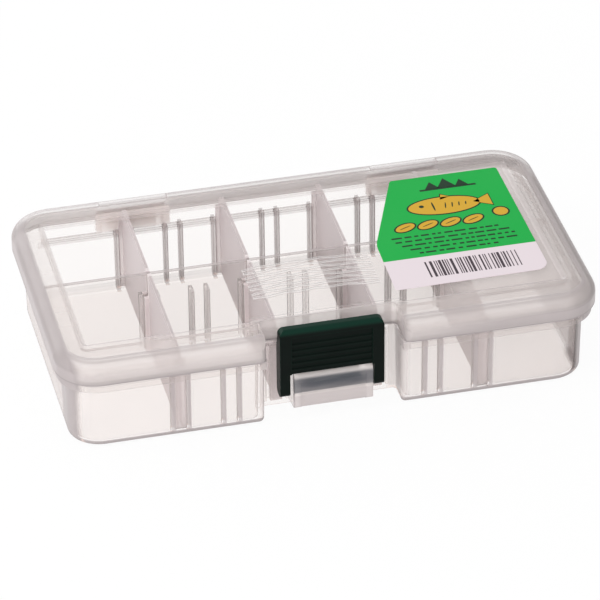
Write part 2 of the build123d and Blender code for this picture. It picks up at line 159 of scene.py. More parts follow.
Input = Union[float, Sequence[float], Value, bpy.types.NodeSocket]


class Graph:
    """The node tree of one material or world."""

    def __init__(self, owner: bpy.types.Material | bpy.types.World) -> None:
        """Empty the owner's node tree.

        Args:
            owner: the material or world whose tree is built.
        """
        owner.use_nodes = True
        self.tree = owner.node_tree
        self.tree.nodes.clear()

    def node(
        self,
        kind: str,
        settings: dict[str, object] | None = None,
        inputs: dict[str | int, Input] | None = None,
    ) -> bpy.types.Node:
        """Add a node, set it up, then feed its sockets.

        Args:
            kind: the node's type.
            settings: properties that are set first; "stops" fills a colour ramp.
            inputs: values or links, by socket name or number.

        Returns:
            The new node.
        """
        node = self.tree.nodes.new(kind)
        for name, setting in (settings or {}).items():
            if name == "stops":
                self._fill_ramp(node.color_ramp, setting)
            else:
                setattr(node, name, setting)
        for name, value in (inputs or {}).items():
            if isinstance(value, Value):
                value = value.socket
            if isinstance(value, bpy.types.NodeSocket):
                self.tree.links.new(value, node.inputs[name])
            else:
                node.inputs[name].default_value = value
        return node

    @staticmethod
    def _fill_ramp(ramp: bpy.types.ColorRamp, stops: Sequence[tuple[float, Colour]]) -> None:
        """Set a colour ramp's stops.

        Args:
            ramp: the ramp to fill.
            stops: position and colour of each stop.
        """
        while len(ramp.elements) < len(stops):
            ramp.elements.new(0.5)
        for element, (position, colour) in zip(ramp.elements, stops):
            element.position = position
            element.color = (*colour, 1.0)

    def position(self) -> bpy.types.NodeSocket:
        """Return the Object coordinates, in metres in the frame."""
        return self.node("ShaderNodeTexCoord").outputs["Object"]

    def axes(self, scale: float = 1 / MM) -> tuple[Value, Value, Value]:
        """Split the Object coordinates.

        Args:
            scale: factor on each coordinate; the default gives millimetres.

        Returns:
            X, Y and Z.
        """
        split = self.node("ShaderNodeSeparateXYZ", inputs={0: self.position()})
        x, y, z = (Value(self, socket) * scale for socket in split.outputs)
        return x, y, z

    def outside(self, outline: Triple, middle_y: float) -> Value:
        """Measure how far a point lies outside a rounded oblong, seen from above.

        Args:
            outline: the oblong's half length, half width and corner radius, in millimetres.
            middle_y: Y of its middle, in millimetres.

        Returns:
            The distance in millimetres, negative inside the outline.
        """
        x, y, _ = self.axes()
        half_x, half_y, radius = outline
        over_x = x.magnitude() - (half_x - radius)
        over_y = (y - middle_y).magnitude() - (half_y - radius)
        corner = (over_x.greater(0.0) ** 2.0 + over_y.greater(0.0) ** 2.0) ** 0.5
        return corner + over_x.greater(over_y).lesser(0.0) - radius

    def noise(self, per_mm: float, detail: float = 2.0, stretch: Triple = (1, 1, 1)) -> Value:
        """Add a noise pattern fixed to the piece.

        Args:
            per_mm: features per millimetre.
            detail: octaves.
            stretch: factor on the pattern's frequency along each axis.

        Returns:
            The pattern, from 0 to 1 about 0.5.
        """
        mapping = self.node(
            "ShaderNodeMapping", inputs={"Vector": self.position(), "Scale": stretch}
        )
        node = self.node(
            "ShaderNodeTexNoise",
            inputs={"Vector": mapping.outputs[0], "Scale": per_mm / MM, "Detail": detail},
        )
        return Value(self, node.outputs[0])

    def blend(self, factor: Number, first: Input, second: Input) -> bpy.types.NodeSocket:
        """Mix two colours.

        Args:
            factor: share of the second colour.
            first: colour at 0.
            second: colour at 1.

        Returns:
            The mixed colour.
        """
        node = self.node("ShaderNodeMix", {"data_type": "RGBA"})
        for socket, value in ((0, factor), (6, first), (7, second)):
            if isinstance(value, Value):
                value = value.socket
            if isinstance(value, bpy.types.NodeSocket):
                self.tree.links.new(value, node.inputs[socket])
            elif socket == 0:
                node.inputs[0].default_value = value
            else:
                node.inputs[socket].default_value = (*value, 1.0)
        return node.outputs[2]

    def bump(self, height: Value, strength: float, distance: float) -> bpy.types.NodeSocket:
        """Turn a height into a normal.

        Args:
            height: the height pattern.
            strength: share of the effect.
            distance: depth of a step of 1, in metres.

        Returns:
            The normal.
        """
        node = self.node(
            "ShaderNodeBump", inputs={"Strength": strength, "Distance": distance, "Height": height}
        )
        return node.outputs[0]

    def edges(self, radius: float, samples: int = 6) -> Value:
        """Find edges by how far a rounded normal turns from the true one.

        Args:
            radius: rounding radius, in metres.
            samples: rays for each point.

        Returns:
            0 on flat faces, rising towards 1 on edges.
        """
        rounded = self.node("ShaderNodeBevel", {"samples": samples}, {"Radius": radius})
        plain = self.node("ShaderNodeNewGeometry")
        dot = self.node(
            "ShaderNodeVectorMath",
            {"operation": "DOT_PRODUCT"},
            {0: rounded.outputs[0], 1: plain.outputs["Normal"]},
        )
        return (1.0 - Value(self, dot.outputs["Value"])).clamped()

    def looked_at(self) -> Value:
        """Tell looking rays from lighting rays.

        Returns:
            1 where a thing is seen straight, mirrored or through glass, else 0.
        """
        path = self.node("ShaderNodeLightPath")
        names = ("Is Camera Ray", "Is Glossy Ray", "Is Transmission Ray")
        camera, glossy, through = (Value(self, path.outputs[name]) for name in names)
        return (camera + glossy + through).clamped()

    def shader(self, kind: str, **sockets: Input) -> bpy.types.NodeSocket:
        """Add a shader node.

        Args:
            kind: the shader's type.
            **sockets: its sockets, with underscores for spaces.

        Returns:
            Its output.
        """
        inputs = {name.replace("_", " "): value for name, value in sockets.items()}
        return self.node(kind, inputs=inputs).outputs[0]

    def mix(
        self, factor: Number, first: bpy.types.NodeSocket, second: bpy.types.NodeSocket
    ) -> bpy.types.NodeSocket:
        """Mix two shaders.

        Args:
            factor: share of the second.
            first: shader at 0.
            second: shader at 1.

        Returns:
            The mixed shader.
        """
        return self.node("ShaderNodeMixShader", inputs={0: factor, 1: first, 2: second}).outputs[0]

    def finish(self, surface: bpy.types.NodeSocket, output: str = "ShaderNodeOutputMaterial") -> None:
        """Connect the surface to the output.

        Args:
            surface: the finished shader.
            output: the output node's type.
        """
        self.node(output, inputs={"Surface": surface})


# ---------------------------------------------------------------------------------------- finishes


@dataclass(frozen=True)
class ClearPlastic:
    """Milky clear moulded polypropylene.

    Thin faces show what is behind them through a light veil. Edges, roundings and thicker places go grey,
    and shade painted by place greys them further.
    """

    name: str
    veil: Colour = (0.93, 0.86, 0.835)
    rim: Colour = (0.47, 0.42, 0.42)
    shade: Colour = (0.26, 0.23, 0.23)
    face_density: float = 0.025
    edge_density: float = 0.50
    grazing_density: float = 0.50
    thick_and_shade_density: float = 0.35
    solid_density: float = 0.85
    edge_radius: float = 0.8 * MM
    edge_turn: Span = (0.01, 0.30)
    grazing_turn: Span = (0.52, 1.0)
    edge_grey: float = 0.9
    grazing_grey: float = 0.7
    densest: float = 0.97
    cloud_per_mm: float = 0.035
    cloud_change: float = 0.6
    grain_per_mm: float = 1.6
    ripple_per_mm: float = 0.25
    roughness: float = 0.30
    passing: float = 0.35
    glow: Colour = (0.93, 0.87, 0.85)
    seen_through: Colour = (0.995, 0.992, 0.990)
    flow: Triple = (0.25, 1.0, 1.0)

    def faces(self, graph: Graph) -> Number:
        """Say how dense the flat faces are.

        Args:
            graph: the graph that the pattern is built in.

        Returns:
            The density, from 0 to 1.
        """
        return self.face_density

    def thick_and_shade(self, graph: Graph) -> Number:
        """Say where the plastic looks grey, from its thickness and from shade painted by place.

        Args:
            graph: the graph that the pattern is built in.

        Returns:
            0 on thin walls, 1 on the greyest places.
        """
        return 0.0

    def solid(self, graph: Graph) -> Number:
        """Say where nothing shows through: where much plastic stands, and where painted shade or a painted
        highlight covers what is behind.

        Args:
            graph: the graph that the pattern is built in.

        Returns:
            0 where it is clear, 1 where it looks solid.
        """
        return 0.0

    def tone_and_painted_light(self, graph: Graph, tint: bpy.types.NodeSocket) -> bpy.types.NodeSocket:
        """Change the colour by place: the plastic's own tone, painted light and shade, and dark things
        painted as seen through it.

        Args:
            graph: the graph that the pattern is built in.
            tint: the plastic's own colour.

        Returns:
            The changed colour.
        """
        return tint

    def passes(self, graph: Graph) -> Number:
        """Say how much of the plastic's glow comes through from its far side.

        Args:
            graph: the graph that the pattern is built in.

        Returns:
            The share, from 0 to 1.
        """
        return self.passing

    def outlines(self, graph: Graph) -> Number:
        """Say how strongly the edges show.

        Args:
            graph: the graph that the pattern is built in.

        Returns:
            The share, from 0 to 1.
        """
        return 1.0

    def build(self) -> bpy.types.Material:
        """Build the material.

        Returns:
            The new material.
        """
        material = bpy.data.materials.new(self.name)
        graph = Graph(material)
        edge = graph.edges(self.edge_radius).ramp(*self.edge_turn) * self.outlines(graph)
        graze = Value(graph, graph.node("ShaderNodeLayerWeight", inputs={"Blend": 0.5}).outputs["Facing"])
        graze = graze.ramp(*self.grazing_turn)
        cloud = graph.noise(self.cloud_per_mm, 3.0, self.flow)
        grain = graph.noise(self.grain_per_mm, 2.0)
        # Greyness from thickness and from shade painted by place in the subclasses.
        thick_and_shade = self.thick_and_shade(graph)
        solid = self.solid(graph)
        density = (
            ((1.0 - self.cloud_change / 2) + cloud * self.cloud_change) * self.faces(graph)
            + edge * self.edge_density
            + graze * self.grazing_density
            + thick_and_shade * self.thick_and_shade_density
            + solid * self.solid_density
        ).clamped(0.0, self.densest)
        grey = (edge * self.edge_grey + graze * self.grazing_grey + thick_and_shade).clamped()
        tint = self.tone_and_painted_light(graph, graph.blend(grey, self.veil, self.rim))
        height = graph.noise(self.ripple_per_mm, 2.0) * 0.7 + grain * 0.3
        normal = graph.bump(height, 0.25, 0.03 * MM)
        skin = graph.shader(
            "ShaderNodeBsdfPrincipled",
            Base_Color=tint,
            Roughness=(self.roughness + grain * 0.12),
            Specular_IOR_Level=0.35,
            Normal=normal,
        )
        glow = graph.shader("ShaderNodeBsdfTranslucent", Color=(*self.glow, 1.0))
        clear = graph.shader("ShaderNodeBsdfTransparent", Color=(*self.seen_through, 1.0))
        body = graph.mix((1.0 - grey) * self.passes(graph), skin, glow)
        graph.finish(graph.mix(density, clear, body))
        return material


@dataclass(frozen=True)
class LidPlastic(ClearPlastic):
    """Lid moulding: clear sunk panel, milky border, and painted shade that greys the roundings and the
    right-hand end.
    """

    name: str = "lid_plastic"
    panel_x: float = 71.0
    panel_front: float = -33.6
    panel_back: float = 32.4
    face_density: float = 0.01
    border_density: float = 0.28
    skirt_density: float = 0.12
    step_density: float = 0.10
    cloudy_density: float = 0.45
    outline: Triple = (80.5, 44.55, 12.5)
    middle_y: float = -0.8
    shoulder: float = 3.6
    hinge_x: float = 42.0
    hinge_reach: float = 10.5
    core_y: Span = (35.8, 36.6)
    knuckle_y: Span = (41.6, 42.2)
    knuckle_z: Span = (25.8, 26.4)
    skirt_z: Span = (26.8, 28.2)
    lip_z: Span = (24.1, 24.7)
    lip_y: Span = (30.0, 34.0)
    cloudy_x: Span = (28.0, 50.0)
    end_x: Span = (74.0, 78.5)
    border_inset: Span = (-9.0, -8.0)
    shoulder_z: float = 28.0
    back_y: float = 37.0
    ridge_z: Span = (30.4, 30.7)
    ridge_y: Span = (-24.0, -4.0)
    ridge_x: float = 20.0
    painted_highlight: Colour = (0.97, 0.95, 0.94)
    knuckle_solid: float = 0.8
    lip_solid: float = 0.35
    ridge_solid: float = 0.25
    rounding_grey: float = 0.40
    left_grey: float = 1.2
    right_shade: float = 0.15
    shoulder_grey: float = 1.3
    back_grey: float = 0.12
    border_right_shade: float = 0.1
    skirt_grey: float = 0.25
    skirt_right_shade: float = 0.45
    cloudy_grey: float = 0.3
    step_grey: float = 0.4
    lip_grey: float = 1.2

    def beside(self, graph: Graph) -> Value:
        """Measure how far a point lies outside the sunk panel.

        Args:
            graph: the graph that the pattern is built in.

        Returns:
            The distance in millimetres, negative inside the panel.
        """
        x, y, _ = graph.axes()
        middle = (self.panel_front + self.panel_back) / 2
        reach = (self.panel_back - self.panel_front) / 2
        return (x.magnitude() - self.panel_x).greater((y - middle).magnitude() - reach)

    def step(self, graph: Graph) -> Value:
        """Mark the step round the sunk panel."""
        return 1.0 - (self.beside(graph) - 0.3).magnitude().ramp(0.3, 1.0)

    def skirt(self, graph: Graph) -> Value:
        """Mark the skirt, below the rounding."""
        _, _, z = graph.axes()
        return 1.0 - z.ramp(*self.skirt_z)

    def faces(self, graph: Graph) -> Number:
        """Say how dense the sunk panel and the border round it are.

        Args:
            graph: the graph that the pattern is built in.

        Returns:
            The density, from 0 to 1.
        """
        _, y, _ = graph.axes()
        border = 1.0 - y.ramp(self.panel_back - 4.0, self.panel_back) * 0.6
        border = border * (1.0 - self.hinges(graph) * y.ramp(*self.core_y) * 0.9)
        border = border * self.border_density + self.skirt(graph) * self.skirt_density
        outside = self.beside(graph).ramp(-0.4, 0.4)
        panel = self.face_density + self.cloudy(graph) * self.cloudy_density
        step = self.step(graph) * self.step_density
        return border * outside + (1.0 - outside) * panel + step

    def cloudy(self, graph: Graph) -> Value:
        """Mark the right-hand end, where the lid turns cloudy."""
        x, _, _ = graph.axes()
        return x.ramp(*self.cloudy_x)

    def hinges(self, graph: Graph) -> Value:
        """Mark the two stretches of the lid over the hinges.

        Args:
            graph: the graph that the pattern is built in.

        Returns:
            1 over the hinges, 0 elsewhere.
        """
        x, _, _ = graph.axes()
        off = (x.magnitude() - self.hinge_x).magnitude()
        return 1.0 - off.ramp(self.hinge_reach - 0.3, self.hinge_reach + 0.3)

    def solid(self, graph: Graph) -> Number:
        """Say where the lid looks solid: mostly at the knuckles, less at the lip and the ridges.

        Args:
            graph: the graph that the pattern is built in.

        Returns:
            0 where it is clear, 1 where it looks solid.
        """
        _, y, z = graph.axes()
        knuckles = self.hinges(graph) * y.ramp(*self.knuckle_y) * (1.0 - z.ramp(*self.knuckle_z))
        lip, ridges = self.lip(graph), self.ridges(graph)
        return knuckles * self.knuckle_solid + lip * self.lip_solid + ridges * self.ridge_solid

    def ridges(self, graph: Graph) -> Value:
        """Mark the tops of the grip's ridges, which get a painted highlight.

        Args:
            graph: the graph that the pattern is built in.

        Returns:
            1 on the tops, 0 elsewhere.
        """
        x, y, z = graph.axes()
        low, high = self.ridge_z
        front, back = self.ridge_y
        top = z.over(low) * (1.0 - z.over(high))
        return top * (1.0 - x.magnitude().over(self.ridge_x)) * y.over(front) * (1.0 - y.over(back))

    def lip(self, graph: Graph) -> Value:
        """Mark the lower edge of the skirt, round the front and the sides."""
        _, y, z = graph.axes()
        return (1.0 - z.ramp(*self.lip_z)) * (1.0 - y.ramp(*self.lip_y))

    def tone_and_painted_light(self, graph: Graph, tint: bpy.types.NodeSocket) -> bpy.types.NodeSocket:
        """Paint shade on the skirt's lower edge and a highlight on the grip's ridges."""
        # Painted highlight: the ridge tops are whitened.
        tint = graph.blend(self.ridges(graph), tint, self.painted_highlight)
        # Painted shade: the skirt's lower edge is darkened.
        return graph.blend(self.lip(graph) * 0.7, tint, self.shade)

    def thick_and_shade(self, graph: Graph) -> Number:
        """Say where the lid goes grey, as shade painted by place: roundings, shoulder line, skirt, step,
        lip and right-hand end.

        Args:
            graph: the graph that the pattern is built in.

        Returns:
            0 on thin walls, up to 1.2 on the greyest places.
        """
        x, y, z = graph.axes()
        inset = graph.outside(self.outline, self.middle_y)
        rounding = inset.ramp(-self.shoulder - 0.5, -self.shoulder + 0.5)
        shoulder = 1.0 - (inset + self.shoulder).magnitude().ramp(0.2, 0.8)
        border = inset.ramp(*self.border_inset)
        ends = (0.0 - x).ramp(*self.end_x) * self.left_grey + x.ramp(*self.end_x) * self.right_shade
        hinge_from = self.hinge_x - self.hinge_reach
        between = 1.0 - x.magnitude().ramp(hinge_from - 2.0, hinge_from)
        # Painted shade by place: grey on the roundings, greyer at the left end, a dark shoulder line, and
        # more grey towards the right on the border and the skirt.
        return (
            rounding * (self.rounding_grey + ends * 0.8)
            + shoulder * z.over(self.shoulder_z) * self.shoulder_grey
            + rounding * y.over(self.back_y) * between * self.back_grey
            + border * x.ramp(-40.0, 80.0) * self.border_right_shade
            + self.skirt(graph) * (self.skirt_grey + x.ramp(20.0, 70.0) * self.skirt_right_shade)
            + (1.0 - border) * self.cloudy(graph) * self.cloudy_grey
            + self.step(graph) * self.step_grey
            + self.lip(graph) * self.lip_grey
        ).clamped(0.0, 1.2)


@dataclass(frozen=True)
class TrayPlastic(ClearPlastic):
    """Tray moulding: milky outer walls, clear floor and cross wall, grey where the slot ribs stand."""

    name: str = "tray_plastic"
    seen_through: Colour = (0.996, 0.987, 0.983)
    wall_density: float = 0.08
    back_density: float = 0.0
    floor_density: float = 0.06
    face_density: float = 0.01
    floor_tint: Colour = (0.97, 0.76, 0.68)
    wall_x: float = 74.0
    wall_y: float = 38.6
    outline: Triple = (76.8, 41.05, 9.5)
    middle_y: float = 0.15
    floor_z: float = 2.0
    slot_pitch: float = 15.0
    slots_end: float = 50.0
    rib_near: float = 1.8
    rib_far: float = 2.9
    rib_top: float = 20.8
    rib_back: Span = (37.5, 38.2)
    rib_front: Span = (-38.2, -37.5)
    recess_x: float = 20.0
    recess_y: Span = (-33.6, -33.0)
    mouth_y: Span = (-38.5, -38.0)
    cross_y: float = 2.75
    cross_z: float = 28.2
    hook: Colour = (0.085, 0.095, 0.115)
    hook_low: Span = (8.9, 9.6)
    hook_high: Span = (13.6, 15.0)
    bracket_x: float = 11.8
    bracket_y: Span = (-40.4, -39.6)
    web_z: Span = (8.0, 9.0)
    bar_highlight_z: Span = (13.0, 13.6)
    hinge_x: float = 42.0
    hinge_reach: float = 10.5
    ear_y: Span = (38.2, 38.6)
    ear_z: Span = (20.4, 20.8)
    ledge_y: Span = (40.4, 40.8)
    ledge_z: float = 18.3
    foot_y: Span = (-34.0, -26.0)
    corner_x: Span = (73.0, 76.0)
    corner_y: Span = (-29.0, -24.0)
    side_x: Span = (74.5, 76.0)
    recess_grey: float = 0.5
    cross_grey: float = 0.9
    foot_grey: float = 1.5
    corner_grey: float = 1.2
    ledge_grey: float = 0.3
    web_grey: float = 0.8
    right_shade: float = 0.25
    right_side_shade: float = 0.35
    ear_solid: float = 0.8
    web_solid: float = 0.6
    hook_solid: float = 0.8
    foot_solid: float = 0.55
    corner_solid: float = 0.55
    rib_solid: float = 0.2
    recess_solid: float = 0.25
    ledge_solid: float = 0.25
    cross_solid: float = 0.3

    def walls(self, graph: Graph) -> Value:
        """Mark the four outer walls."""
        x, y, _ = graph.axes()
        return (x.magnitude() - self.wall_x).greater(y.magnitude() - self.wall_y).ramp(-0.4, 0.4)

    def faces(self, graph: Graph) -> Number:
        """Say how dense the outer walls, the floor and the cross wall are.

        Args:
            graph: the graph that the pattern is built in.

        Returns:
            The density, from 0 to 1.
        """
        _, y, _ = graph.axes()
        walls = self.walls(graph)
        back = y.ramp(34.0, self.wall_y)
        outer = (1.0 - back) * self.wall_density + back * self.back_density
        return walls * outer + (1.0 - walls) * self.face_density + self.floor(graph) * self.floor_density

    def floor(self, graph: Graph) -> Value:
        """Mark the floor, inside the walls."""
        _, _, z = graph.axes()
        return (1.0 - z.ramp(self.floor_z - 0.5, self.floor_z)) * (1.0 - self.walls(graph))

    def passes(self, graph: Graph) -> Number:
        """Return nothing on the floor, which stands on the table."""
        _, _, z = graph.axes()
        return z.ramp(self.floor_z - 0.5, self.floor_z) * self.passing

    def outlines(self, graph: Graph) -> Number:
        """Return little along the foot of the walls, inside, half on the ribs and all of it elsewhere."""
        _, _, z = graph.axes()
        return (0.3 + z.ramp(2.4, 3.0) * 0.7) * (1.0 - self.ribs(graph) * 0.5).clamped()

    def ribs(self, graph: Graph) -> Value:
        """Mark the paired ribs that hold the dividers.

        Args:
            graph: the graph that the pattern is built in.

        Returns:
            0 off the ribs, most on the front wall's.
        """
        x, y, z = graph.axes()
        off = ((x + 7.5 * self.slot_pitch).modulo(self.slot_pitch) - self.slot_pitch / 2).magnitude()
        rib = off.ramp(self.rib_near - 0.2, self.rib_near + 0.1)
        rib = rib * (1.0 - off.ramp(self.rib_far - 0.1, self.rib_far + 0.2))
        rib = rib * (1.0 - x.magnitude().over(self.slots_end)) * (1.0 - z.over(self.rib_top))
        rib = rib * (y.over(0.0) + x.magnitude().over(self.recess_x)).clamped()
        empty = ((x + 7.0 * self.slot_pitch).modulo(2.0 * self.slot_pitch) - self.slot_pitch).magnitude()
        centre = (y - self.cross_y).magnitude()
        empty = x.magnitude().over(self.slot_pitch) * (1.0 - empty.over(self.slot_pitch / 2))
        back = y.ramp(*self.rib_back) * 0.9
        front = (1.0 - y.ramp(*self.rib_front)) * 1.1
        return rib * (back + empty * (1.0 - centre.ramp(2.6, 3.0)) * 0.55 + front)

    def recess(self, graph: Graph) -> Value:
        """Mark the right-hand side wall of the recess behind the latch, and the corners of its mouth,
        which get painted shade.

        Args:
            graph: the graph that the pattern is built in.

        Returns:
            1 on those places, 0 elsewhere.
        """
        x, y, _ = graph.axes()
        off = x.magnitude()
        side = x.ramp(17.5, 18.5) * (1.0 - x.ramp(21.5, 22.5)) * (1.0 - y.ramp(*self.recess_y))
        mouth = off.over(15.0) * (1.0 - off.ramp(21.0, 23.5)) * (1.0 - y.ramp(*self.mouth_y))
        return side.greater(mouth)

    def thick_and_shade(self, graph: Graph) -> Number:
        """Say where the tray goes grey: thicker ribs, and shade painted by place on the recess, cross
        wall's top, foot, front corners, ledge, web and right-hand side.

        Args:
            graph: the graph that the pattern is built in.

        Returns:
            0 on thin walls, up to 1.5 on the greyest places.
        """
        x, _, z = graph.axes()
        # Painted shade by place, beside the ribs' thickness, rising towards the right-hand side.
        return (
            self.ribs(graph)
            + self.recess(graph) * self.recess_grey
            + self.cross_top(graph) * self.cross_grey
            + self.foot(graph) * self.foot_grey
            + self.corner(graph) * self.corner_grey
            + self.ledge(graph) * self.ledge_grey
            + self.bracket(graph) * (1.0 - z.ramp(*self.web_z)) * self.web_grey
            + x.ramp(0.0, 80.0) * self.right_shade
            + x.ramp(*self.side_x) * self.right_side_shade
        ).clamped(0.0, 1.5)

    def cross_top(self, graph: Graph) -> Value:
        """Mark the top of the cross wall."""
        _, y, z = graph.axes()
        return z.over(self.cross_z) * (1.0 - (y - self.cross_y).magnitude().over(1.0))

    def foot(self, graph: Graph) -> Value:
        """Mark the foot of the walls, outside, which gets a painted shade line: fully at the front and a
        little elsewhere.

        Args:
            graph: the graph that the pattern is built in.

        Returns:
            0 off the foot, 1 at the front.
        """
        _, y, z = graph.axes()
        off = graph.outside(self.outline, self.middle_y)
        under = (1.0 - z.over(1.25)) * off.ramp(-1.9, -1.7)
        face = (1.0 - z.ramp(1.5, 2.2)) * off.ramp(-0.9, -0.7)
        return under.greater(face) * (1.0 - y.ramp(*self.foot_y) * 0.8)

    def corner(self, graph: Graph) -> Value:
        """Mark the two rounded corners at the front, which get painted shade."""
        x, y, _ = graph.axes()
        return x.magnitude().ramp(*self.corner_x) * (1.0 - y.ramp(*self.corner_y))

    def ledge(self, graph: Graph) -> Value:
        """Mark the ledge along the back."""
        _, y, z = graph.axes()
        return y.ramp(*self.ledge_y) * (1.0 - (z - self.ledge_z).magnitude().ramp(0.9, 1.2))

    def bracket(self, graph: Graph) -> Value:
        """Mark the latch's bar and the web under it."""
        x, y, _ = graph.axes()
        return (1.0 - y.ramp(*self.bracket_y)) * (1.0 - x.magnitude().over(self.bracket_x))

    def painted_hook_band(self, graph: Graph) -> Value:
        """Mark the band of the bracket that is painted dark, standing in for the latch's hook seen through
        it.
        """
        _, _, z = graph.axes()
        return self.bracket(graph) * z.ramp(*self.hook_low) * (1.0 - z.ramp(*self.hook_high))

    def solid(self, graph: Graph) -> Number:
        """Say where the tray looks solid: hinge ears, bar and web, foot, front corners and less elsewhere.

        Args:
            graph: the graph that the pattern is built in.

        Returns:
            0 where it is clear, 1 where it looks solid.
        """
        x, y, z = graph.axes()
        off = (x.magnitude() - self.hinge_x).magnitude()
        ears = (1.0 - off.ramp(self.hinge_reach + 0.5, self.hinge_reach + 1.2)) * z.ramp(*self.ear_z)
        bracket = self.bracket(graph)
        return (
            ears * y.ramp(*self.ear_y) * self.ear_solid
            # The bar's top is made denser and paler as a painted highlight.
            + bracket * (self.web_solid + z.ramp(*self.bar_highlight_z) * 0.15)
            + self.painted_hook_band(graph) * self.hook_solid
            + self.foot(graph) * self.foot_solid
            + self.corner(graph) * self.corner_solid
            + self.ribs(graph) * self.rib_solid
            + self.recess(graph) * self.recess_solid
            + self.ledge(graph) * self.ledge_solid
            + self.cross_top(graph) * self.cross_solid
        ).clamped()

    def tone_and_painted_light(self, graph: Graph, tint: bpy.types.NodeSocket) -> bpy.types.NodeSocket:
        """Warm the floor, paint shade on the foot and the front corners, and paint the hook seen through
        the bracket as a dark band.

        Args:
            graph: the graph that the pattern is built in.
            tint: the plastic's own colour.

        Returns:
            The changed colour.
        """
        streak = graph.noise(0.4, 3.0, (0.15, 1.0, 1.5))
        tint = graph.blend(self.floor(graph), tint, self.floor_tint)
        # Painted shade at the foot and the front corners.
        tint = graph.blend((self.foot(graph) * 0.5).greater(self.corner(graph) * 0.3), tint, self.shade)
        # Painted dark band that stands in for the hook seen through the clear bar.
        return graph.blend(self.painted_hook_band(graph) * (0.75 + streak * 0.4).clamped(), tint, self.hook)


@dataclass(frozen=True)
class DividerPlastic(ClearPlastic):
    """Divider moulding: duller than the tray, and duller still on the T-shaped end at the cross wall."""

    name: str = "divider_plastic"
    veil: Colour = (0.80, 0.735, 0.755)
    rim: Colour = (0.66, 0.60, 0.61)
    face_density: float = 0.55
    flow: Triple = (1.0, 1.0, 0.3)
    end_painted_light: Colour = (0.96, 0.90, 0.91)
    cross_y: float = 2.75
    end_reach: float = 2.2

    def end(self, graph: Graph) -> Value:
        """Mark the T-shaped end at the cross wall."""
        _, y, _ = graph.axes()
        return 1.0 - (y - self.cross_y).magnitude().over(self.end_reach)

    def solid(self, graph: Graph) -> Number:
        """Return half on the T-shaped end."""
        return self.end(graph) * 0.5

    def tone_and_painted_light(self, graph: Graph, tint: bpy.types.NodeSocket) -> bpy.types.NodeSocket:
        """Paint light on the T-shaped end, which stands in the shade."""
        return graph.blend(self.end(graph) * 0.8, tint, self.end_painted_light)


@dataclass(frozen=True)
class DarkPlastic:
    """Dark green moulded plastic with a fine texture, greener along its top edge, where light on the top
    is painted.
    """

    name: str = "latch_plastic"
    base: Colour = (0.0015, 0.0025, 0.0020)
    lighter_tone: Colour = (0.004, 0.030, 0.019)
    lit_top_z: float = 29.0

    def build(self) -> bpy.types.Material:
        """Build the material.

        Returns:
            The new material.
        """
        material = bpy.data.materials.new(self.name)
        graph = Graph(material)
        edge = graph.edges(0.5 * MM).ramp(0.02, 0.35)
        grain = graph.noise(4.0, 3.0)
        cloud = graph.noise(0.15, 3.0)
        _, _, z = graph.axes()
        # Painted light: the top is painted greener, as if lit from above.
        lit_top = z.ramp(self.lit_top_z, self.lit_top_z + 1.2)
        tint = graph.blend((edge * 0.4 + cloud * 0.12 + lit_top * 0.7).clamped(), self.base, self.lighter_tone)
        surface = graph.shader(
            "ShaderNodeBsdfPrincipled",
            Base_Color=tint,
            Roughness=(0.36 + cloud * 0.14 + grain * 0.06),
            Specular_IOR_Level=0.08,
            Normal=graph.bump(grain, 0.3, 0.03 * MM),
        )
        graph.finish(surface)
        return material


@dataclass(frozen=True)
class PrintedPaper:
    """Coated label stock with a faint paper grain under the print."""

    name: str
    ink: Colour
    paper: Colour = (0.75, 0.665, 0.70)
    split_y: float = -200.0
    roughness: float = 0.38

    def build(self) -> bpy.types.Material:
        """Build the material.

        Returns:
            The new material.
        """
        material = bpy.data.materials.new(self.name)
        graph = Graph(material)
        fibre = graph.noise(2.5, 4.0)
        cloud = graph.noise(0.08, 2.0)
        _, y, _ = graph.axes()
        printed = (y - self.split_y).ramp(-0.06, 0.06)
        base = graph.blend(printed, self.paper, self.ink)
        lighter_tone = graph.blend(0.04, base, (0.9, 0.9, 0.9))
        tint = graph.blend((cloud * 0.3 + fibre * 0.4).clamped(), base, lighter_tone)
        surface = graph.shader(
            "ShaderNodeBsdfPrincipled",
            Base_Color=tint,
            Roughness=(self.roughness + fibre * 0.1),
            Specular_IOR_Level=0.05,
            Normal=graph.bump(fibre, 0.15, 0.01 * MM),
        )
        graph.finish(surface)
        return material


# ------------------------------------------------------------------------------------------ studio


